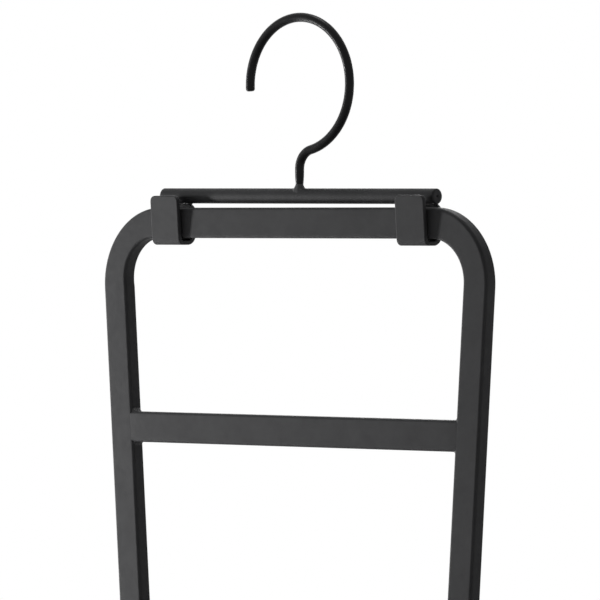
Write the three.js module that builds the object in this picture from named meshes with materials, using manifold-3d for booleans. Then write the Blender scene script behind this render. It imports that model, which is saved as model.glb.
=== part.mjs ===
// Handbag hanger: a wire hook welded to a round rod, two folded clips under the rod, and a
// tapered ladder frame of rectangular tube whose top bar lies loose in the clips.
// Millimetres, +Z up, +X to the right, the front faces -Y. The origin is the underside of the
// hook's crown, the line where the hook rests on a rail.

import Module from 'manifold-3d';
import * as THREE from 'three';
import { mergeVertices } from 'three/addons/utils/BufferGeometryUtils.js';

const wasm = await Module();
wasm.setup();

// Clearances
const seatGap = 0.3; // between pieces that touch
const clipPlay = 0.35; // between the top bar and each upright of a clip, at the clip's foot
const rodSlot = 1.95; // between the rod and the top bar below it
const cutOverrun = 2; // how far a cutter runs past what it cuts

// Hook
const wireDiameter = 4.8;
const hookRadius = 34.8; // to the wire's centre line
const stemBendRadius = 10.2; // to the wire's centre line
const hookRise = 57.9; // from the rod's axis to the centre of the hook's round
const hookTipAngle = 185.2; // degrees from +X, past the crown and down the far side
const hookWeldLeg = 1.5;

// Rod
const rodDiameter = 8;
const rodOverhang = 1.7; // past the straight stretch of the top bar, at each end
const rodChamfer = 0.5;
const centreHoleDiameter = 1.4;
const centreHoleDepth = 1;

// Clips
const clipWidth = 20;
const clipThickness = 2;
const clipFrontBendRadius = 1; // inside the fold under the lip
const clipRearBendRadius = 3.6; // inside the fold under the rear upright, on which the bar lies
const clipSetback = 0.45; // from the rod's axis back to the rear upright's front face
const lipRise = 0.4; // of the lip's top over the rod's axis
const lipFlare = 4.4; // degrees that the lip leans forward
const clipCornerRadius = 3; // at both ends of the folded strip
const clipLand = 0.6; // flat left on the rear upright's top edge, under the rod
const clipBevelDrop = 2.3; // of the weld bevel behind that flat
const clipWeldRadius = 1.5;

// Frame, of one bent rectangular tube
const barHeight = 16; // in the plane of the frame
const barDepth = 8;
const barEdgeRadius = 1.5;
const barWall = 1.2;
const frameHalfWidth = 134.1; // at its widest, just under the top corners
const cornerRadius = 40; // outside the bend
const bendThinning = 1.6; // of the tube in the middle of each bend, all on the inside
const legTaper = 3.8; // degrees that each leg leans inward on its way down
const crossbarCount = 2;
const rungPitch = 108; // between the centres of neighbouring bars
const seamWidth = 1.6; // of the weld that closes the tube
const seamProud = 0.15;
const rungWeldRoot = 1.1; // between the end of a crossbar and the leg

// Fineness of curves, as numbers of steps
const wireSides = 16;
const hookSteps = 44;
const stemSteps = 10;
const cornerSteps = 12;
const edgeSegments = 2;
const foldSegments = 8;
const roundSegments = 36;

// Places that follow from the sizes
const wireRadius = wireDiameter / 2;
const rodRadius = rodDiameter / 2;
const hookCentreZ = wireRadius - hookRadius;
const rodZ = hookCentreZ - hookRise;
const topBarY = clipSetback - clipPlay - barDepth / 2;
const topBarZ = rodZ - rodRadius - rodSlot - barHeight / 2;
const taper = THREE.MathUtils.degToRad(legTaper);
const bendX = frameHalfWidth - cornerRadius; // where the top bar's straight stretch ends
const rodLength = 2 * (bendX + rodOverhang);

const blackCoat = (roughness) =>
  new THREE.MeshStandardMaterial({ color: 0x3b3c3e, roughness, metalness: 0.15 });

function piece(name, geometry, material) {
  const mesh = new THREE.Mesh(geometry, material);
  mesh.name = name;
  return mesh;
}

// Solids for joining and cutting

function toSolid(geometry) {
  const bare = geometry.clone();
  bare.deleteAttribute('normal');
  bare.deleteAttribute('uv');
  const merged = mergeVertices(bare, 1e-4);
  return new wasm.Manifold(
    new wasm.Mesh({
      numProp: 3,
      vertProperties: new Float32Array(merged.attributes.position.array),
      triVerts: new Uint32Array(merged.index.array),
    }),
  );
}

function toGeometry(solid) {
  const mesh = solid.getMesh();
  const geometry = new THREE.BufferGeometry();
  geometry.setAttribute('position', new THREE.BufferAttribute(mesh.vertProperties, 3));
  geometry.setIndex(new THREE.BufferAttribute(mesh.triVerts, 1));
  geometry.computeVertexNormals();
  return geometry;
}

// Sweeps in the XZ plane: a path is a list of stations, each a place and a heading

class StationPath extends THREE.Curve {
  constructor(stations) {
    super();
    this.stations = stations;
  }

  station(t) {
    return this.stations[Math.round(t * (this.stations.length - 1))];
  }

  getPoint(t, target = new THREE.Vector3()) {
    return target.copy(this.station(t).point);
  }

  getTangent(t, target = new THREE.Vector3()) {
    return target.copy(this.station(t).heading);
  }

  getUtoTmapping(u) {
    return u;
  }
}

function station(x, z, headingX, headingZ) {
  return { point: new THREE.Vector3(x, 0, z), heading: new THREE.Vector3(headingX, 0, headingZ) };
}

// Stations round a centre, from one angle to another, in radians from +X towards +Z
function arcStations(centre, radius, from, to, steps) {
  const turn = Math.sign(to - from);
  return Array.from({ length: steps + 1 }, (_, i) => {
    const angle = from + ((to - from) * i) / steps;
    const [c, s] = [Math.cos(angle), Math.sin(angle)];
    return station(centre.x + radius * c, centre.z + radius * s, -turn * s, turn * c);
  });
}

function sweep(section, stations) {
  return new THREE.ExtrudeGeometry(section, {
    steps: stations.length - 1,
    curveSegments: edgeSegments,
    bevelEnabled: false,
    extrudePath: new StationPath(stations),
  });
}

function roundedRectangle(path, width, height, radius) {
  const [x, y] = [width / 2 - radius, height / 2 - radius];
  path.absarc(x, y, radius, 0, Math.PI / 2);
  path.absarc(-x, y, radius, Math.PI / 2, Math.PI);
  path.absarc(-x, -y, radius, Math.PI, 1.5 * Math.PI);
  path.absarc(x, -y, radius, 1.5 * Math.PI, 2 * Math.PI);
  path.closePath();
  return path;
}

function tubeSection() {
  const section = roundedRectangle(new THREE.Shape(), barHeight, barDepth, barEdgeRadius);
  const bore = roundedRectangle(
    new THREE.Path(),
    barHeight - 2 * barWall,
    barDepth - 2 * barWall,
    barEdgeRadius / 2,
  );
  section.holes.push(bore);
  return section;
}

// Extrusions with their outline upright: seen from the front, or from the side
const frontView = new THREE.Matrix4().makeBasis(
  new THREE.Vector3(1, 0, 0),
  new THREE.Vector3(0, 0, 1),
  new THREE.Vector3(0, -1, 0),
);
const sideView = new THREE.Matrix4().makeBasis(
  new THREE.Vector3(0, 1, 0),
  new THREE.Vector3(0, 0, 1),
  new THREE.Vector3(1, 0, 0),
);

// The extrusion is centred on the plane of its outline
function upright(outline, thickness, view, curveSegments = edgeSegments) {
  const settings = { depth: thickness, curveSegments, bevelEnabled: false };
  const geometry = new THREE.ExtrudeGeometry(outline, settings);
  geometry.translate(0, 0, -thickness / 2);
  return geometry.applyMatrix4(view);
}

// A bar of round section along X
function lyingCylinder(radius, length) {
  return new THREE.CylinderGeometry(radius, radius, length, roundSegments).rotateZ(Math.PI / 2);
}

// Hanger: hook, rod and clips, welded into one

function hookGeometry() {
  const rise = Math.sqrt((hookRadius + stemBendRadius) ** 2 - stemBendRadius ** 2);
  const bend = { x: stemBendRadius, z: hookCentreZ - rise };
  const meeting = Math.atan2(-rise, stemBendRadius);
  const tip = THREE.MathUtils.degToRad(hookTipAngle);
  const stations = [
    station(0, rodZ + rodRadius + seatGap, 0, 1),
    ...arcStations(bend, stemBendRadius, Math.PI, meeting + Math.PI, stemSteps),
    ...arcStations({ x: 0, z: hookCentreZ }, hookRadius, meeting, tip, hookSteps).slice(1),
  ];
  const wire = new THREE.Shape(
    Array.from({ length: wireSides }, (_, i) => {
      const angle = (2 * Math.PI * i) / wireSides;
      return new THREE.Vector2(wireRadius * Math.cos(angle), wireRadius * Math.sin(angle));
    }),
  );
  return sweep(wire, stations);
}

// A collar of weld round the foot of the stem, draped over the rod
function hookWeldGeometry() {
  const inside = wireRadius + seatGap;
  const crest = rodZ + rodRadius + hookWeldLeg;
  const ring = new THREE.LatheGeometry(
    [
      new THREE.Vector2(inside, rodZ),
      new THREE.Vector2(inside + hookWeldLeg, rodZ),
      new THREE.Vector2(inside + hookWeldLeg, crest - hookWeldLeg / 2),
      new THREE.Vector2(inside + hookWeldLeg / 2, crest),
      new THREE.Vector2(inside, crest),
      new THREE.Vector2(inside, rodZ),
    ],
    roundSegments,
  ).rotateX(Math.PI / 2);
  const rod = lyingCylinder(rodRadius + seatGap, rodLength).translate(0, 0, rodZ);
  return toGeometry(toSolid(ring).subtract(toSolid(rod)));
}

function rodGeometry() {
  const end = rodLength / 2;
  const half = [
    [0, end - centreHoleDepth],
    [centreHoleDiameter / 2, end],
    [rodRadius - rodChamfer, end],
    [rodRadius, end - rodChamfer],
  ];
  const profile = [
    ...half.map(([r, along]) => new THREE.Vector2(r, -along)),
    ...half.reverse().map(([r, along]) => new THREE.Vector2(r, along)),
  ];
  return new THREE.LatheGeometry(profile, roundSegments).rotateZ(-Math.PI / 2).translate(0, 0, rodZ);
}

// Height of the top bar over the clips' feet: its rounded rear edge lies in the rear folds
function barRide() {
  const spare = clipRearBendRadius - barEdgeRadius;
  const apart = Math.max(0, spare - seatGap); // centres of an edge and of its fold
  const across = Math.max(0, spare - clipPlay);
  const drop = Math.sqrt(Math.max(0, apart ** 2 - across ** 2));
  return Math.max(seatGap, spare - drop);
}

// Outline of a folded clip from the side: rear upright, foot under the top bar, flared front lip
const clipFootZ = topBarZ - barHeight / 2 - barRide();
const clipRearY = topBarY + barDepth / 2 + clipPlay;
const clipFrontY = topBarY - barDepth / 2 - clipPlay;
const clipRearTopZ = rodZ - rodRadius - seatGap;

function clipOutline() {
  const flare = THREE.MathUtils.degToRad(lipFlare);
  const rear = { y: clipRearY - clipRearBendRadius, z: clipFootZ + clipRearBendRadius };
  const front = { y: clipFrontY + clipFrontBendRadius, z: clipFootZ + clipFrontBendRadius };
  const lipHeight = (rodZ + lipRise - front.z) / Math.cos(flare);
  const lipTop = (radius) => ({
    y: front.y - radius * Math.cos(flare) - lipHeight * Math.sin(flare),
    z: front.z - radius * Math.sin(flare) + lipHeight * Math.cos(flare),
  });
  const outerRadius = clipFrontBendRadius + clipThickness;
  const [inner, outer] = [lipTop(clipFrontBendRadius), lipTop(outerRadius)];
  const outline = new THREE.Shape();
  outline.moveTo(clipRearY, clipRearTopZ);
  outline.absarc(rear.y, rear.z, clipRearBendRadius, 0, -Math.PI / 2, true);
  outline.absarc(front.y, front.z, clipFrontBendRadius, 1.5 * Math.PI, Math.PI + flare, true);
  outline.lineTo(inner.y, inner.z);
  outline.lineTo(outer.y, outer.z);
  outline.absarc(front.y, front.z, outerRadius, Math.PI + flare, 1.5 * Math.PI);
  outline.absarc(rear.y, rear.z, clipRearBendRadius + clipThickness, -Math.PI / 2, 0);
  outline.lineTo(clipRearY + clipThickness, clipRearTopZ - clipBevelDrop);
  outline.lineTo(clipRearY + clipLand, clipRearTopZ);
  outline.closePath();
  return outline;
}

// The strip's front view as a block between two depths, with the corners of its top end rounded
function clipBlank(top, nearY, farY) {
  const [radius, side] = [clipCornerRadius, clipWidth / 2];
  const low = clipFootZ - clipThickness - cutOverrun;
  const outline = new THREE.Shape();
  outline.moveTo(-side, low);
  outline.lineTo(side, low);
  outline.absarc(side - radius, top - radius, radius, 0, Math.PI / 2);
  outline.absarc(-side + radius, top - radius, radius, Math.PI / 2, Math.PI);
  outline.closePath();
  const block = upright(outline, farY - nearY, frontView, foldSegments);
  return toSolid(block.translate(0, (nearY + farY) / 2, 0));
}

function clipGeometry() {
  const folded = toSolid(upright(clipOutline(), clipWidth, sideView, foldSegments));
  const reach = barDepth + 2 * (clipPlay + clipThickness) + rodDiameter;
  const lip = clipBlank(rodZ + lipRise, topBarY - reach, topBarY);
  const rear = clipBlank(clipRearTopZ, topBarY, topBarY + reach);
  return toGeometry(folded.intersect(lip.add(rear)));
}

// A bead of weld in the groove between the rod and the rear upright's bevel
function clipWeldGeometry() {
  const length = clipWidth - 2 * clipCornerRadius;
  const bead = lyingCylinder(clipWeldRadius, length);
  bead.translate(0, clipRearY + clipThickness / 2, clipRearTopZ);
  const rod = lyingCylinder(rodRadius + seatGap, clipWidth).translate(0, 0, rodZ);
  const grown = new THREE.Shape();
  const slope = Math.hypot(clipThickness - clipLand, clipBevelDrop);
  const lift = (seatGap * slope) / (clipThickness - clipLand); // so that the gap is square to the bevel
  const low = clipRearTopZ - clipBevelDrop - clipWeldRadius;
  grown.moveTo(clipRearY - clipWeldRadius, low);
  grown.lineTo(clipRearY + clipThickness + seatGap, low);
  grown.lineTo(clipRearY + clipThickness + seatGap, clipRearTopZ - clipBevelDrop + lift);
  grown.lineTo(clipRearY + clipLand, clipRearTopZ + lift);
  grown.lineTo(clipRearY - clipWeldRadius, clipRearTopZ + lift);
  grown.closePath();
  const plate = upright(grown, clipWidth, sideView);
  return toGeometry(toSolid(bead).subtract(toSolid(rod)).subtract(toSolid(plate)));
}

function hanger() {
  const group = new THREE.Group();
  const coat = blackCoat(0.5);
  group.add(piece('hook', hookGeometry(), coat.clone()));
  group.add(piece('hook_weld', hookWeldGeometry(), coat.clone()));
  group.add(piece('top_rod', rodGeometry(), coat.clone()));
  const clipX = (rodLength - clipWidth) / 2;
  for (const [side, sign] of [['left', -1], ['right', 1]]) {
    const clip = new THREE.Group();
    clip.position.x = sign * clipX;
    clip.add(piece(`${side}_clip`, clipGeometry(), coat.clone()));
    clip.add(piece(`${side}_clip_weld`, clipWeldGeometry(), coat.clone()));
    group.add(clip);
  }
  return group;
}

// Frame, placed so that its own origin is the middle of the top bar

const frameHeight = (crossbarCount + 1) * rungPitch + barHeight;
const bendTopZ = barHeight / 2 - cornerRadius;
const bendBottomZ = barHeight / 2 - frameHeight + cornerRadius;
const bendBottomX = bendX - (bendTopZ - bendBottomZ) * Math.tan(taper);

// Half the clear width between the legs, at a height
function clearHalfWidth(z) {
  const inside = cornerRadius - barHeight;
  return bendX + inside / Math.cos(taper) - (bendTopZ - z) * Math.tan(taper);
}

// Moves the tube's inner wall outward in its bends, most in the middle of each
function thinBends(geometry, bends, middleRadius) {
  const { position } = geometry.attributes;
  for (let i = 0; i < position.count; i += 1) {
    for (const bend of bends) {
      const [x, z] = [position.getX(i) - bend.x, position.getZ(i) - bend.z];
      const along = THREE.MathUtils.euclideanModulo(Math.atan2(z, x) - bend.from, 2 * Math.PI);
      const share = along / (bend.to - bend.from);
      const radius = Math.hypot(x, z);
      if (share < 1 && radius < middleRadius) {
        const grown = 1 + (bendThinning * Math.sin(share * Math.PI)) / radius;
        position.setX(i, bend.x + x * grown);
        position.setZ(i, bend.z + z * grown);
      }
    }
  }
  return geometry;
}

// One tube, from the seam in the bottom bar round all four corners and back to the seam
function frameTubeGeometry() {
  const seam = seamWidth / 2 + seatGap;
  const bottomZ = barHeight / 2 - frameHeight + barHeight / 2;
  const bends = [
    { x: bendBottomX, z: bendBottomZ, from: -Math.PI / 2, to: -taper },
    { x: bendX, z: bendTopZ, from: -taper, to: Math.PI / 2 },
    { x: -bendX, z: bendTopZ, from: Math.PI / 2, to: Math.PI + taper },
    { x: -bendBottomX, z: bendBottomZ, from: Math.PI + taper, to: 1.5 * Math.PI },
  ];
  const middleRadius = cornerRadius - barHeight / 2;
  const round = (bend) => arcStations(bend, middleRadius, bend.from, bend.to, cornerSteps);
  const ends = [station(seam, bottomZ, 1, 0), station(-seam, bottomZ, 1, 0)];
  const tube = sweep(tubeSection(), [ends[0], ...bends.flatMap(round), ends[1]]);
  return thinBends(tube, bends, middleRadius);
}

// The weld that closes the tube, ground nearly flush
function seamWeldGeometry() {
  const section = roundedRectangle(
    new THREE.Shape(),
    barHeight + 2 * seamProud,
    barDepth + 2 * seamProud,
    barEdgeRadius,
  );
  const middle = barHeight - frameHeight;
  return sweep(section, [station(-seamWidth / 2, middle, 1, 0), station(seamWidth / 2, middle, 1, 0)]);
}

// A crossbar of the same tube, its ends cut to the legs' slant
function crossbarGeometry(z) {
  const ends = [-frameHalfWidth, frameHalfWidth].map((x) => station(x, z, 1, 0));
  const geometry = sweep(tubeSection(), ends);
  const { position } = geometry.attributes;
  const back = 2 * seatGap + rungWeldRoot;
  for (let i = 0; i < position.count; i += 1) {
    position.setX(i, Math.sign(position.getX(i)) * (clearHalfWidth(position.getZ(i)) - back));
  }
  return geometry;
}

// The weld at a crossbar's right end: a root between bar and leg, and a fillet above and below,
// whose toe ends over the end of the bar
function rungWeldGeometry(z) {
  const leg = rungWeldRoot + seatGap;
  const face = (height) => clearHalfWidth(height) - seatGap;
  const reach = barHeight / 2 + seatGap;
  const [top, bottom] = [z + reach, z - reach];
  const outline = new THREE.Shape();
  outline.moveTo(face(bottom - leg), bottom - leg);
  outline.lineTo(face(top + leg), top + leg);
  outline.lineTo(face(top) - leg, top);
  outline.lineTo(face(top) - rungWeldRoot, top);
  outline.lineTo(face(bottom) - rungWeldRoot, bottom);
  outline.lineTo(face(bottom) - leg, bottom);
  outline.closePath();
  return upright(outline, barDepth - 2 * seatGap, frontView);
}

function frame() {
  const group = new THREE.Group();
  const coat = blackCoat(0.55);
  group.add(piece('frame_tube', frameTubeGeometry(), coat.clone()));
  group.add(piece('frame_seam_weld', seamWeldGeometry(), coat.clone()));
  for (let rung = 1; rung <= crossbarCount; rung += 1) {
    const z = -rung * rungPitch;
    group.add(piece(`crossbar_${rung}`, crossbarGeometry(z), coat.clone()));
    const right = piece(`crossbar_${rung}_right_weld`, rungWeldGeometry(z), coat.clone());
    const left = piece(`crossbar_${rung}_left_weld`, rungWeldGeometry(z), coat.clone());
    left.rotation.z = Math.PI;
    group.add(right, left);
  }
  group.position.set(0, topBarY, topBarZ);
  return group;
}

const handbagHanger = new THREE.Group();
handbagHanger.add(hanger(), frame());

export default handbagHanger;
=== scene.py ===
"""Looks of the handbag hanger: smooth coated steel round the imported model.

Metres, in the model's own frame: +Z up, +X to the right, the front faces -Y, and the origin is
the underside of the hook's crown.
"""

import math

import bpy
import numpy as np
from mathutils import Matrix, Vector


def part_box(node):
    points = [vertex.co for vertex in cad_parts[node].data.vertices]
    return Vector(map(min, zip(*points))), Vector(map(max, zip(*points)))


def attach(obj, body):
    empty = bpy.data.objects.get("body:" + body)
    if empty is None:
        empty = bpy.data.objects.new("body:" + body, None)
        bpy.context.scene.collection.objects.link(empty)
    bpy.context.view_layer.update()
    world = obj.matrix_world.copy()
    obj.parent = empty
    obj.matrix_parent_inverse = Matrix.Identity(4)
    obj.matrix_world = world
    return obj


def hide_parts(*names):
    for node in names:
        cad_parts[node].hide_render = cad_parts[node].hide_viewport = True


MM = 0.001

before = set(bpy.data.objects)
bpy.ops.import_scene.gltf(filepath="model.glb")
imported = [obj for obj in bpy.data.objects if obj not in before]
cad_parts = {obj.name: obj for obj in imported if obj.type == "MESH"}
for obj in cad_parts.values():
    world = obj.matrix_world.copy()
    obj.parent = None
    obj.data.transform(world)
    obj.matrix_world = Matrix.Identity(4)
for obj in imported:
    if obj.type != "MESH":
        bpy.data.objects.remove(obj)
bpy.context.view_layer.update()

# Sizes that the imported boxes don't give
CORNER_RADIUS = 40 * MM  # outside the frame's bends
BEND_THINNING = 1.6 * MM  # of the tube in the middle of a bend
RIGHT_CORNER_RADIUS = 38.7 * MM  # the upper right bend came out a little tighter
RIGHT_BEND_THINNING = 0.3 * MM
FRAME_HALF_WIDTH = 134.1 * MM
LEG_TAPER = math.radians(3.8)
FRAME_SLIP = 0.35 * MM  # of the loose frame to the right, in the clips
BAR_HEIGHT = 16 * MM
BAR_EDGE_RADIUS = 1.5 * MM
WIRE_RADIUS = 2.4 * MM
STEM_BEND_RADIUS = 10.2 * MM
HOOK_TIP_ANGLE = math.radians(185.2)
ROD_SLIP = -0.9 * MM  # of the rod's middle from the hook
ROD_TILT = math.radians(0.2)  # left end up
CLIP_THICKNESS = 2.4 * MM
CLIP_PLAY = 0.35 * MM  # between the top bar and a clip, at each side
FRONT_BEND_RADIUS = 1 * MM  # inside the clips' folds
REAR_BEND_RADIUS = 3.6 * MM
CLIP_EDGE_RADIUS = 0.55 * MM
LIP_CORNER_RADIUS = 3 * MM
UPRIGHT_CORNER_RADIUS = 5 * MM
LIP_FLARE = math.radians(4.4)
ROD_CHAMFER = 0.5 * MM
CLIP_TRIM = 0.4 * MM  # of the clips' packed width
CLIP_SLIPS = {"left": -0.1 * MM, "right": 0.25 * MM}  # of the clips to the right
FOOT_LIFT = 0.1 * MM  # of the clips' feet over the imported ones
RUN_IN = 0.15 * MM  # of a piece into the one that it is welded to
JOINT_SINK = 0.02 * MM  # of a crossbar's ends under the legs' faces

# Welds
FILLET_LEG = 1.9 * MM
FILLET_SETBACK = 0.7 * MM  # of a fillet's ends from the bar's front and rear
FILLET_ROOT = 0.4 * MM  # of a fillet into the pieces that it joins
SEAM_HALF_WIDTH = 1.1 * MM
FOOT_WELD_HEIGHT = 3.2 * MM
FOOT_WELD_RADII = (1.9 * MM, 4.1 * MM)  # round the stem and on the rod
REAR_BEAD_RADIUS = 1.3 * MM
FRONT_BEAD_RADIUS = 0.8 * MM
BEAD_SHORTFALL = 4.5 * MM  # of a bead's length from the clip's width

# Stage
FLOOR_DROP = 60 * MM  # below the bottom bar
FLOOR_RADIUS = 1.25
FLOOR_FADE = (0.35, 1.15)  # radii between which the floor turns white
AIM = (0, 0, -0.22)
LAMPS = [  # name, place, aim, size, watts
    ("key", (-1.0, -0.45, -0.12), AIM, (0.1, 0.16), 5.3),
    ("low_key", (-0.9, -0.38, -0.41), AIM, (0.1, 0.12), 3.9),
    ("back_fill", (-0.7, 1.5, 0.3), AIM, (1.0, 1.0), 9),
    ("top", (-0.3, 0.05, 1.1), (0, 0, -0.1), (0.5, 0.3), 4),
    ("under", (-0.6, 0.0, -0.47), AIM, (0.2, 0.04), 1.2),
]

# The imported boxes
FRAME_LOW, FRAME_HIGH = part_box("frame_tube")
ROD_LOW, ROD_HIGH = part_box("top_rod")
HOOK_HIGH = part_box("hook")[1]
CLIP_LOW, CLIP_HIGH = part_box("right_clip")
ROD_RADIUS = (ROD_HIGH.z - ROD_LOW.z) / 2
ROD_Z = (ROD_HIGH.z + ROD_LOW.z) / 2
BAR_DEPTH = FRAME_HIGH.y - FRAME_LOW.y
BAR_Y = (FRAME_HIGH.y + FRAME_LOW.y) / 2
HOOK_RADIUS = HOOK_HIGH.x - WIRE_RADIUS
CLIP_WIDTH = CLIP_HIGH.x - CLIP_LOW.x - CLIP_TRIM
CLIP_REAR_Y = BAR_Y + BAR_DEPTH / 2 + CLIP_PLAY  # front face of the rear uprights
CLIP_FRONT_Y = BAR_Y - BAR_DEPTH / 2 - CLIP_PLAY  # rear face of the lips, at the foot


# Meshes

def mesh_piece(name, vertices, faces, sharp=math.radians(40)):
    """A smooth-shaded mesh object with its faces pointing out."""
    mesh = bpy.data.meshes.new(name)
    mesh.from_pydata([tuple(v) for v in vertices], [], [tuple(f) for f in faces])
    mesh.validate()
    piece = bpy.data.objects.new(name, mesh)
    bpy.context.scene.collection.objects.link(piece)
    bpy.context.view_layer.objects.active = piece
    piece.select_set(True)
    bpy.ops.object.mode_set(mode="EDIT")
    bpy.ops.mesh.select_all(action="SELECT")
    bpy.ops.mesh.normals_make_consistent(inside=False)
    bpy.ops.object.mode_set(mode="OBJECT")
    piece.select_set(False)
    mesh.shade_smooth()
    mesh.set_sharp_from_angle(angle=sharp)
    return piece


def loft(name, rings, closed=False, sharp=math.radians(40)):
    """Quads between rings of points, with the two ends capped unless the rings close on themselves."""
    rings = np.asarray(rings, float)
    count, size = rings.shape[:2]
    faces = []
    for i in range(count if closed else count - 1):
        near, far = i * size, (i + 1) % count * size
        for k in range(size):
            after = (k + 1) % size
            faces.append((near + k, near + after, far + after, far + k))
    if not closed:
        faces.append(range(size))
        faces.append(range((count - 1) * size, count * size))
    return mesh_piece(name, rings.reshape(-1, 3), faces, sharp)


def rounded_section(width, height, radius, steps=8, lead=0.35 * MM):
    """Points round a rectangle with round corners, and one beside each that keeps the flats flat."""
    points = []
    for corner, (sx, sy) in enumerate([(1, 1), (-1, 1), (-1, -1), (1, -1)]):
        centre = np.array([sx * (width / 2 - radius), sy * (height / 2 - radius)])
        angles = np.linspace(corner * math.pi / 2, (corner + 1) * math.pi / 2, steps + 1)
        arc = [centre + radius * np.array([math.cos(a), math.sin(a)]) for a in angles]
        tangents = [np.array([-math.sin(a), math.cos(a)]) for a in (angles[0], angles[-1])]
        points += [arc[0] - lead * tangents[0], *arc, arc[-1] + lead * tangents[1]]
    return np.array(points)


def circle_section(radius, sides):
    angles = np.linspace(0, 2 * math.pi, sides, endpoint=False)
    return radius * np.stack([np.cos(angles), np.sin(angles)], 1)


def swept_rings(stations, section, y=0.0):
    """Rings of a section along stations (x, z, heading x, heading z, scale) in a plane of constant y."""
    rings = []
    for x, z, hx, hz, scale in stations:
        across, along_y = section[:, 0] * scale, section[:, 1] * scale
        rings.append(np.stack([x + across * hz, y + along_y, z - across * hx], 1))
    return rings


def arc_stations(cx, cz, radius, start, end, steps):
    turn = math.copysign(1, end - start)
    return [
        (cx + radius * math.cos(a), cz + radius * math.sin(a), -turn * math.sin(a), turn * math.cos(a), 1)
        for a in np.linspace(start, end, steps + 1)
    ]


def smooth_noise(count, period, seed):
    """Soft random waves between about -1 and 1, at points a step apart."""
    rng = np.random.default_rng(seed)
    knots = rng.uniform(-1, 1, int(count / period) + 4)
    at = np.arange(count) / period
    low = at.astype(int)
    t = at - low
    t = t * t * (3 - 2 * t)
    return knots[low] * (1 - t) + knots[low + 1] * t


# Frame

def frame_skin():
    """The bent tube, one closed sweep through all four corners."""
    half, steps = math.pi / 2, 36
    section = rounded_section(BAR_HEIGHT, BAR_DEPTH, BAR_EDGE_RADIUS)
    inner = section[:, 0] < 0
    usual = (CORNER_RADIUS, BEND_THINNING)
    tighter = (RIGHT_CORNER_RADIUS, RIGHT_BEND_THINNING)
    rings = []
    for side, upper, (radius, thinning), start, end in [
        (1, False, usual, -half, -LEG_TAPER),
        (1, True, tighter, -LEG_TAPER, half),
        (-1, True, usual, half, math.pi + LEG_TAPER),
        (-1, False, usual, math.pi + LEG_TAPER, 3 * half),
    ]:
        z = FRAME_HIGH.z - radius if upper else FRAME_LOW.z + radius
        x = side * (outer_half_width(z) - radius / math.cos(LEG_TAPER))
        for i, stop in enumerate(arc_stations(x, z, radius - BAR_HEIGHT / 2, start, end, steps)):
            thinned = section.copy()
            thinned[inner, 0] += thinning * math.sin(math.pi * i / steps)
            rings += swept_rings([stop], thinned, BAR_Y)
    return loft("frame_tube_skin", rings, closed=True)


def outer_half_width(z):
    """Half the width over the legs, at a height."""
    bend_x = FRAME_HALF_WIDTH - CORNER_RADIUS
    drop = FRAME_HIGH.z - CORNER_RADIUS - z
    return bend_x + CORNER_RADIUS / math.cos(LEG_TAPER) - drop * math.tan(LEG_TAPER)


def clear_half_width(z):
    """Half the clear width between the legs, at a height."""
    return outer_half_width(z) - BAR_HEIGHT / math.cos(LEG_TAPER)


def crossbar_skin(number):
    """A crossbar whose ends run into the legs, as far as the legs' edges are round."""
    z = (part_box(f"crossbar_{number}")[0].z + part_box(f"crossbar_{number}")[1].z) / 2
    section = rounded_section(BAR_HEIGHT, BAR_DEPTH, BAR_EDGE_RADIUS)
    sunk = rounded_section(BAR_HEIGHT - 2 * JOINT_SINK, BAR_DEPTH - 2 * JOINT_SINK, BAR_EDGE_RADIUS)
    marks = [  # beyond the leg's face, with the section there
        (BAR_EDGE_RADIUS + 0.2 * MM, sunk), (BAR_EDGE_RADIUS, sunk), (BAR_EDGE_RADIUS - 0.3 * MM, section),
        (-6 * MM, section), (-40 * MM, section),
    ]
    rings = []
    for side in (-1, 1):
        ordered = marks if side < 0 else marks[::-1]
        for beyond, outline in ordered:
            height = z + outline[:, 0]
            x = side * (np.array([clear_half_width(h) for h in height]) + beyond)
            rings.append(np.stack([x, BAR_Y + outline[:, 1], height], 1))
    return loft(f"crossbar_{number}_skin", rings)


def fillet_bead(name, side, z_bar, above, seed):
    """A small weld in the corner between a crossbar and a leg, above or below the bar."""
    steps, arc_steps = 40, 8
    reach = BAR_DEPTH / 2 - FILLET_SETBACK
    along = np.linspace(-reach, reach, steps)
    lumps = 1 + 0.1 * np.sin(along / (1.3 * MM) * 2 * math.pi) + 0.12 * smooth_noise(steps, 6, seed)
    taper_off = np.sqrt(np.clip(1 - (along / reach) ** 6, 0, 1))
    leg_length = FILLET_LEG * lumps * taper_off + 0.05 * MM
    up = 1 if above else -1
    bar_face = z_bar + up * BAR_HEIGHT / 2
    rings = []
    for y, leg in zip(along, leg_length):
        points = [(FILLET_ROOT, -FILLET_ROOT), (FILLET_ROOT, leg)]
        for t in np.linspace(0, 1, arc_steps + 1):
            # a shallow curve from the leg down to the bar, hollow by a fifth of its size
            hollow = 0.2 * leg * math.sin(math.pi * t)
            points.append((-leg * t + hollow * 0.7, leg * (1 - t) - hollow * 0.7))
        points.append((-leg, -FILLET_ROOT))
        ring = []
        for out, rise in points:
            height = bar_face + up * rise
            ring.append((side * (clear_half_width(height) + out), BAR_Y + y, height))
        rings.append(ring)
    return loft(name, rings, sharp=math.radians(60))


def seam_bead():
    """The weld that closes the tube, ground nearly flush, across the bottom bar."""
    z = FRAME_LOW.z + BAR_HEIGHT / 2
    rings = []
    for t in np.linspace(-1, 1, 9):
        proud = 0.12 * MM * math.cos(t * math.pi / 2) - 0.02 * MM
        section = rounded_section(BAR_HEIGHT + 2 * proud, BAR_DEPTH + 2 * proud, BAR_EDGE_RADIUS)
        x = np.full(len(section), t * SEAM_HALF_WIDTH)
        rings.append(np.stack([x, BAR_Y + section[:, 1], z + section[:, 0]], 1))
    return loft("frame_seam", rings)


# Hanger

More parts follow.
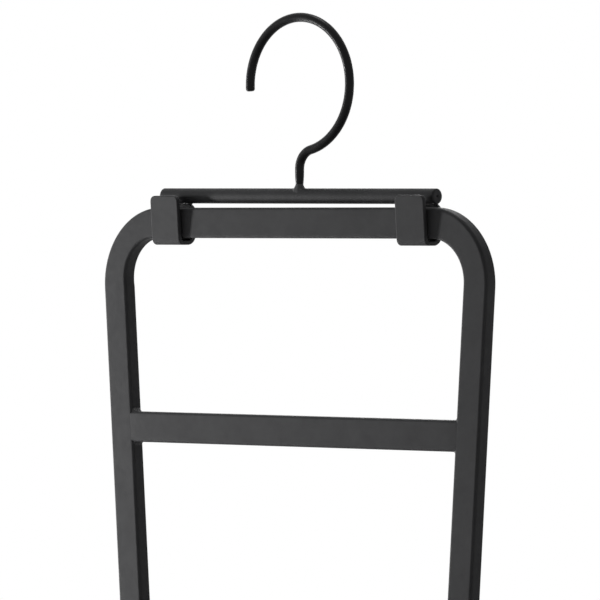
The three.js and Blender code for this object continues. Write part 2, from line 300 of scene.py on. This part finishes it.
def hook_skin():
    """Round wire: the stem, its bend, the big round and a softened free end."""
    centre_z = HOOK_HIGH.z - WIRE_RADIUS - HOOK_RADIUS
    rise = math.sqrt((HOOK_RADIUS + STEM_BEND_RADIUS) ** 2 - STEM_BEND_RADIUS**2)
    bend_z = centre_z - rise
    meeting = math.atan2(-rise, STEM_BEND_RADIUS)
    foot = ROD_HIGH.z - 0.3 * MM
    stations = [
        (0, foot, 0, 1, 0.84), (0, foot + 1.6 * MM, 0, 1, 0.84), (0, foot + 3.4 * MM, 0, 1, 0.87),
        (0, foot + 6 * MM, 0, 1, 0.97), (0, foot + 8 * MM, 0, 1, 1),
    ]
    stations += arc_stations(STEM_BEND_RADIUS, bend_z, STEM_BEND_RADIUS, math.pi, meeting + math.pi, 28)
    stations += arc_stations(0, centre_z, HOOK_RADIUS, meeting, HOOK_TIP_ANGLE, 120)[1:]
    x, z, hx, hz, _ = stations.pop()
    edge = 1.3 * MM
    for turn in np.linspace(0, math.pi / 2, 7):
        back = edge * (1 - math.sin(turn))
        scale = (WIRE_RADIUS - edge * (1 - math.cos(turn))) / WIRE_RADIUS
        stations.append((x - back * hx, z - back * hz, hx, hz, scale))
    return loft("hook_wire", swept_rings(stations, circle_section(WIRE_RADIUS, 32)))


def hook_foot_weld():
    """A skirt of weld that drapes over the rod round the foot of the stem."""
    rings = []
    sides = 48
    angles = np.linspace(0, 2 * math.pi, sides, endpoint=False)
    lumps = 1 + 0.05 * np.sin(5 * angles + 1) + 0.04 * np.sin(9 * angles)
    inner, outer = FOOT_WELD_RADII
    for t in np.linspace(0, 1, 12):
        radius = (inner + (outer - inner) * t**1.5) * (1 + (lumps - 1) * t)
        x, y = radius * np.cos(angles), radius * np.sin(angles)
        under = ROD_Z + np.sqrt(np.maximum(ROD_RADIUS**2 - y**2, 0)) - RUN_IN
        settle = 1 - (1 - t) ** 1.8
        z = (ROD_HIGH.z + FOOT_WELD_HEIGHT) * (1 - settle) + under * settle
        rings.append(np.stack([x, y, z], 1))
    core = rings[-1] * [0.5, 0.5, 1] - [0, 0, 0.5 * MM]
    return loft("hook_foot_weld", [*rings, core], sharp=math.radians(60))


def rod_rise(x):
    """Height of the tilted rod over its middle."""
    return -x * math.tan(ROD_TILT)


def rod_skin():
    """The rod, with broken edges, faced ends and a centre hole at each end."""
    end = ROD_HIGH.x
    half = [
        (end - 1.0 * MM, 0.05 * MM), (end - 0.25 * MM, 0.62 * MM), (end - 0.04 * MM, 0.78 * MM),
        (end, 0.95 * MM), (end, ROD_RADIUS - ROD_CHAMFER - 0.25 * MM),
        (end - 0.04 * MM, ROD_RADIUS - ROD_CHAMFER - 0.02 * MM),
        (end - 0.3 * MM, ROD_RADIUS - 0.2 * MM), (end - ROD_CHAMFER, ROD_RADIUS - 0.03 * MM),
        (end - 0.8 * MM, ROD_RADIUS), (end - 1.6 * MM, ROD_RADIUS), (end * 0.5, ROD_RADIUS),
    ]
    profile = [(-x, r) for x, r in half] + [(0, ROD_RADIUS)] + half[::-1]
    circle = circle_section(1, 48)
    rings = [
        np.stack([np.full(48, x + ROD_SLIP), circle[:, 0] * r, ROD_Z + rod_rise(x) + circle[:, 1] * r], 1)
        for x, r in profile
    ]
    return loft("top_rod_skin", rings)


def clip_path():
    """Middle line of a folded strip, upright's top to lip's top, as (y, z, heading y, heading z)."""
    foot_z = CLIP_LOW.z + CLIP_THICKNESS + FOOT_LIFT
    rear_y, rear_z = CLIP_REAR_Y - REAR_BEND_RADIUS, foot_z + REAR_BEND_RADIUS
    front_y, front_z = CLIP_FRONT_Y + FRONT_BEND_RADIUS, foot_z + FRONT_BEND_RADIUS
    half = CLIP_THICKNESS / 2
    top = ROD_LOW.z + RUN_IN
    points = [(CLIP_REAR_Y + half, z, 0, -1) for z in np.linspace(top, rear_z, 24)]
    for cy, cz, radius, start, end in [
        (rear_y, rear_z, REAR_BEND_RADIUS + half, 0, -math.pi / 2),
        (front_y, front_z, FRONT_BEND_RADIUS + half, -math.pi / 2, LIP_FLARE - math.pi),
    ]:
        for a in np.linspace(start, end, 16):
            heading = (math.sin(a), -math.cos(a))
            points.append((cy + radius * math.cos(a), cz + radius * math.sin(a), *heading))
    y, z, hy, hz = points[-1]
    length = (CLIP_HIGH.z - z) / hz
    points += [(y + hy * d, z + hz * d, hy, hz) for d in np.linspace(0, length, 24)[1:]]
    return points


def resample(points, stops):
    """The path at distances along it, and its length."""
    table = np.array(points)
    steps = np.hypot(*np.diff(table[:, :2], axis=0).T)
    at = np.concatenate([[0], np.cumsum(steps)])
    return [np.array([np.interp(s, at, table[:, k]) for k in range(4)]) for s in stops], at[-1]


def end_stops(corner):
    """Distances from an end of the strip at which its round corners and broken edge need a ring."""
    ends = np.array([0, 0.06, 0.22, 0.5, 0.8, 1.0]) * CLIP_EDGE_RADIUS
    rounds = corner * (1 - np.cos(np.linspace(0.3, math.pi / 2, 9)))
    return sorted({round(float(v), 9) for v in [*ends, *rounds]})


def clip_skin(side, x):
    """A strip with round corners and broken edges, folded along its path."""
    path = clip_path()
    length = resample(path, [0])[1]
    edge = CLIP_EDGE_RADIUS
    first, last = end_stops(UPRIGHT_CORNER_RADIUS), end_stops(LIP_CORNER_RADIUS)
    main = np.linspace(first[-1], length - last[-1], 90)[1:-1]
    stops = [*first, *main, *[length - s for s in last[::-1]]]
    stations, _ = resample(path, stops)
    rings = []
    for s, (y, z, hy, hz) in zip(stops, stations):
        if s < length / 2:
            inward, corner = s, UPRIGHT_CORNER_RADIUS
        else:
            inward, corner = length - s, LIP_CORNER_RADIUS
        turn = max(0.0, 1 - inward / corner)
        width = CLIP_WIDTH - 2 * corner * (1 - math.sqrt(max(0.0, 1 - turn**2)))
        bite = max(0.0, 1 - inward / edge)
        thickness = CLIP_THICKNESS - 2 * edge * (1 - math.sqrt(max(0.0, 1 - bite**2)))
        rounding = min(edge, thickness / 2 * 0.98)
        section = rounded_section(width, thickness, rounding, steps=5, lead=0.15 * MM)
        norm = math.hypot(hy, hz)
        ny, nz = -hz / norm, hy / norm
        rings.append(np.stack([x + section[:, 0], y + section[:, 1] * ny, z + section[:, 1] * nz], 1))
    return loft(f"{side}_clip_skin", rings, sharp=math.radians(50))


def bead(name, x, y, z, length, radius, seed):
    """A rippled bead of weld along X with round ends."""
    steps = 90
    along = np.linspace(-length / 2, length / 2, steps)
    close = np.abs(along) - (length / 2 - radius)
    ends = np.sqrt(np.clip(1 - (np.clip(close, 0, None) / radius) ** 2, 0.0004, 1))
    lumps = 1 + 0.07 * np.sin(along / (1.1 * MM) * 2 * math.pi) + 0.1 * smooth_noise(steps, 9, seed)
    sag = 0.12 * MM * smooth_noise(steps, 12, seed + 1)
    circle = circle_section(radius, 20)
    rings = []
    for a, e, lump, s in zip(along, ends, lumps, sag):
        size = e * lump
        across, upward = (circle * size).T
        rings.append(np.stack([np.full(20, x + a), y + across, z + s + upward], 1))
    return loft(name, rings, sharp=math.radians(60))


# Materials

def powder_coat(name, colour, roughness, peel=0.12, specular=0.1):
    """Matte black powder coat: faint mottling, a fine orange peel and slightly uneven gloss."""
    material = bpy.data.materials.new(name)
    material.use_nodes = True
    nodes, links = material.node_tree.nodes, material.node_tree.links
    shader = nodes["Principled BSDF"]
    shader.inputs["Specular IOR Level"].default_value = specular
    place = nodes.new("ShaderNodeTexCoord")

    def noise(scale, detail):
        node = nodes.new("ShaderNodeTexNoise")
        node.inputs["Scale"].default_value = scale
        node.inputs["Detail"].default_value = detail
        links.new(place.outputs["Object"], node.inputs["Vector"])
        return node

    def spread(source, low, high):
        node = nodes.new("ShaderNodeMapRange")
        node.inputs["From Min"].default_value = 0.3
        node.inputs["From Max"].default_value = 0.7
        node.inputs["To Min"].default_value = low
        node.inputs["To Max"].default_value = high
        links.new(source.outputs["Fac"], node.inputs["Value"])
        return node

    tint = nodes.new("ShaderNodeMix")
    tint.data_type = "RGBA"
    tint.inputs["A"].default_value = (*[c * 0.9 for c in colour], 1)
    tint.inputs["B"].default_value = (*[c * 1.1 for c in colour], 1)
    links.new(spread(noise(70, 3), 0.0, 1.0).outputs["Result"], tint.inputs["Factor"])
    links.new(tint.outputs["Result"], shader.inputs["Base Color"])
    gloss = spread(noise(240, 2), roughness - 0.05, roughness + 0.05)
    links.new(gloss.outputs["Result"], shader.inputs["Roughness"])
    bump = nodes.new("ShaderNodeBump")
    bump.inputs["Strength"].default_value = peel
    bump.inputs["Distance"].default_value = 0.1 * MM
    links.new(noise(1100, 2).outputs["Fac"], bump.inputs["Height"])
    links.new(bump.outputs["Normal"], shader.inputs["Normal"])
    return material


def finish_piece(piece, body, material, slot, *nodes):
    piece.data.materials.clear()
    piece.data.materials.append(material)
    if body == "frame":
        piece.data.transform(Matrix.Translation((FRAME_SLIP, 0, 0)))
    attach(piece, body)
    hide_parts(*nodes)


# Stage

def world_light():
    """White where it is seen, dimmer as light, a little cool from above and warm from below."""
    world = bpy.data.worlds.new("studio")
    bpy.context.scene.world = world
    world.use_nodes = True
    nodes, links = world.node_tree.nodes, world.node_tree.links
    nodes.clear()
    path = nodes.new("ShaderNodeLightPath")
    seen = nodes.new("ShaderNodeMath")
    seen.operation = "MAXIMUM"
    links.new(path.outputs["Is Camera Ray"], seen.inputs[0])
    seen_too = nodes.new("ShaderNodeMath")
    seen_too.operation = "MAXIMUM"
    links.new(path.outputs["Is Glossy Ray"], seen_too.inputs[0])
    links.new(path.outputs["Is Transmission Ray"], seen_too.inputs[1])
    links.new(seen_too.outputs[0], seen.inputs[1])
    place = nodes.new("ShaderNodeTexCoord")
    split = nodes.new("ShaderNodeSeparateXYZ")
    links.new(place.outputs["Generated"], split.inputs[0])
    height = nodes.new("ShaderNodeMapRange")
    height.inputs["From Min"].default_value = -1
    height.inputs["From Max"].default_value = 1
    links.new(split.outputs["Z"], height.inputs["Value"])
    sky = nodes.new("ShaderNodeMix")
    sky.data_type = "RGBA"
    sky.inputs["A"].default_value = (0.50, 0.49, 0.46, 1)
    sky.inputs["B"].default_value = (0.22, 0.23, 0.26, 1)
    links.new(height.outputs["Result"], sky.inputs["Factor"])
    light = nodes.new("ShaderNodeBackground")
    links.new(sky.outputs["Result"], light.inputs["Color"])
    light.inputs["Strength"].default_value = 0.06
    white = nodes.new("ShaderNodeBackground")
    white.inputs["Color"].default_value = (1, 1, 1, 1)
    white.inputs["Strength"].default_value = 1
    mix = nodes.new("ShaderNodeMixShader")
    links.new(seen.outputs[0], mix.inputs["Fac"])
    links.new(light.outputs[0], mix.inputs[1])
    links.new(white.outputs[0], mix.inputs[2])
    output = nodes.new("ShaderNodeOutputWorld")
    links.new(mix.outputs[0], output.inputs["Surface"])


def area_light(name, place, target, size, power):
    data = bpy.data.lights.new(name, "AREA")
    data.shape = "RECTANGLE"
    data.size, data.size_y = size
    data.energy = power
    lamp = bpy.data.objects.new(name, data)
    bpy.context.scene.collection.objects.link(lamp)
    lamp.location = place
    lamp.rotation_mode = "QUATERNION"
    lamp.rotation_quaternion = (Vector(target) - Vector(place)).to_track_quat("-Z", "Y")


def pale_floor():
    """A round pale floor under the hanging object, which fades into the white round it."""
    sides = 96
    z = FRAME_LOW.z - FLOOR_DROP
    circle = circle_section(FLOOR_RADIUS, sides)
    mesh = bpy.data.meshes.new("floor")
    mesh.from_pydata([(x, y, z) for x, y in circle], [], [tuple(range(sides))])
    floor = bpy.data.objects.new("floor", mesh)
    bpy.context.scene.collection.objects.link(floor)
    material = bpy.data.materials.new("pale_floor")
    material.use_nodes = True
    nodes, links = material.node_tree.nodes, material.node_tree.links
    nodes.clear()
    place = nodes.new("ShaderNodeTexCoord")
    length = nodes.new("ShaderNodeVectorMath")
    length.operation = "LENGTH"
    flat = nodes.new("ShaderNodeVectorMath")
    flat.operation = "MULTIPLY"
    flat.inputs[1].default_value = (1, 1, 0)
    links.new(place.outputs["Object"], flat.inputs[0])
    links.new(flat.outputs["Vector"], length.inputs[0])
    fade = nodes.new("ShaderNodeMapRange")
    fade.interpolation_type = "SMOOTHSTEP"
    fade.inputs["From Min"].default_value, fade.inputs["From Max"].default_value = FLOOR_FADE
    links.new(length.outputs["Value"], fade.inputs["Value"])
    paint = nodes.new("ShaderNodeBsdfDiffuse")
    paint.inputs["Color"].default_value = (0.9, 0.9, 0.9, 1)
    glow = nodes.new("ShaderNodeEmission")
    glow.inputs["Color"].default_value = (1, 1, 1, 1)
    mix = nodes.new("ShaderNodeMixShader")
    links.new(fade.outputs["Result"], mix.inputs["Fac"])
    links.new(paint.outputs[0], mix.inputs[1])
    links.new(glow.outputs[0], mix.inputs[2])
    output = nodes.new("ShaderNodeOutputMaterial")
    links.new(mix.outputs[0], output.inputs["Surface"])
    mesh.materials.append(material)


# The photograph's camera: its direction, its distance and where it images the origin
VIEW_AZIMUTH = math.radians(42.317)
VIEW_ELEVATION = math.radians(0.724)
VIEW_DISTANCE = 3.3716
FOCAL_PIXELS = 6500
ORIGIN_PIXEL_X, ORIGIN_PIXEL_Y = 299.62, 21.93
IMAGE_SIZE = 600
SENSOR_WIDTH = 36


def photo_camera():
    back = Vector((
        math.sin(VIEW_AZIMUTH) * math.cos(VIEW_ELEVATION),
        -math.cos(VIEW_AZIMUTH) * math.cos(VIEW_ELEVATION),
        math.sin(VIEW_ELEVATION),
    ))
    right = Vector((math.cos(VIEW_AZIMUTH), math.sin(VIEW_AZIMUTH), 0))
    up = back.cross(right)
    pixel = VIEW_DISTANCE / FOCAL_PIXELS
    data = bpy.data.cameras.new("photo_camera")
    data.sensor_width = SENSOR_WIDTH
    data.lens = SENSOR_WIDTH * FOCAL_PIXELS / IMAGE_SIZE
    data.clip_start, data.clip_end = 0.1, 50
    camera = bpy.data.objects.new("photo_camera", data)
    bpy.context.scene.collection.objects.link(camera)
    place = back * VIEW_DISTANCE
    place -= right * (ORIGIN_PIXEL_X - IMAGE_SIZE / 2) * pixel
    place += up * (ORIGIN_PIXEL_Y - IMAGE_SIZE / 2) * pixel
    turn = Matrix((right, up, back)).transposed().to_4x4()
    camera.matrix_world = Matrix.Translation(place) @ turn
    bpy.context.scene.camera = camera


def build_hanger(strip, rod, wire, weld):
    finish_piece(hook_skin(), "hanger", wire, "black_wire", "hook")
    finish_piece(hook_foot_weld(), "hanger", weld, "black_wire", "hook_weld")
    finish_piece(rod_skin(), "hanger", rod, "black_wire", "top_rod")
    clip_x = (CLIP_HIGH.x + CLIP_LOW.x) / 2
    rear_y, front_y = CLIP_REAR_Y + 0.55 * CLIP_THICKNESS, CLIP_REAR_Y - 0.2 * MM
    for seed, (side, sign) in enumerate([("left", -1), ("right", 1)]):
        x = sign * clip_x + CLIP_SLIPS[side]
        rod_low = ROD_LOW.z + rod_rise(x)
        length = CLIP_WIDTH - BEAD_SHORTFALL
        finish_piece(clip_skin(side, x), "hanger", strip, "black_sheet", f"{side}_clip")
        rear = bead(f"{side}_clip_rear_weld", x, rear_y, rod_low + 0.3 * MM, length, REAR_BEAD_RADIUS, seed)
        finish_piece(rear, "hanger", weld, "black_sheet", f"{side}_clip_weld")
        place = (x, front_y, rod_low - 0.1 * MM)
        front = bead(f"{side}_clip_front_weld", *place, length, FRONT_BEAD_RADIUS, seed + 7)
        finish_piece(front, "hanger", weld, "black_sheet")


def build_frame(tube, weld):
    finish_piece(frame_skin(), "frame", tube, "black_tube", "frame_tube")
    finish_piece(seam_bead(), "frame", tube, "black_tube", "frame_seam_weld")
    for number in (1, 2):
        low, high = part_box(f"crossbar_{number}")
        z = (low.z + high.z) / 2
        finish_piece(crossbar_skin(number), "frame", tube, "black_tube", f"crossbar_{number}")
        for seed, (side, sign) in enumerate([("left", -1), ("right", 1)]):
            for above, word in [(True, "upper"), (False, "lower")]:
                name = f"crossbar_{number}_{side}_{word}_weld"
                piece = fillet_bead(name, sign, z, above, 20 * number + 5 * seed + above)
                finish_piece(piece, "frame", weld, "black_tube", f"crossbar_{number}_{side}_weld")


def build():
    photo_camera()
    # The wire's coat is the rod's paint made about four times darker: painted shade that dims the whole
    # hook.
    wire = powder_coat("black_coat_on_wire_with_painted_shade", (0.014, 0.014, 0.015), 0.3)
    rod = powder_coat("black_coat_on_rod", (0.052, 0.052, 0.054), 0.5)
    strip = powder_coat("black_coat_on_strip", (0.052, 0.052, 0.054), 0.52)
    tube = powder_coat("black_coat_on_tube", (0.052, 0.052, 0.054), 0.55)
    weld = powder_coat("black_coat_on_welds", (0.045, 0.045, 0.047), 0.36, peel=0.3, specular=0.3)
    build_hanger(strip, rod, wire, weld)
    build_frame(tube, weld)
    world_light()
    for lamp in LAMPS:
        area_light(*lamp)
    pale_floor()


build()
bpy.context.scene.view_settings.view_transform = "Standard"
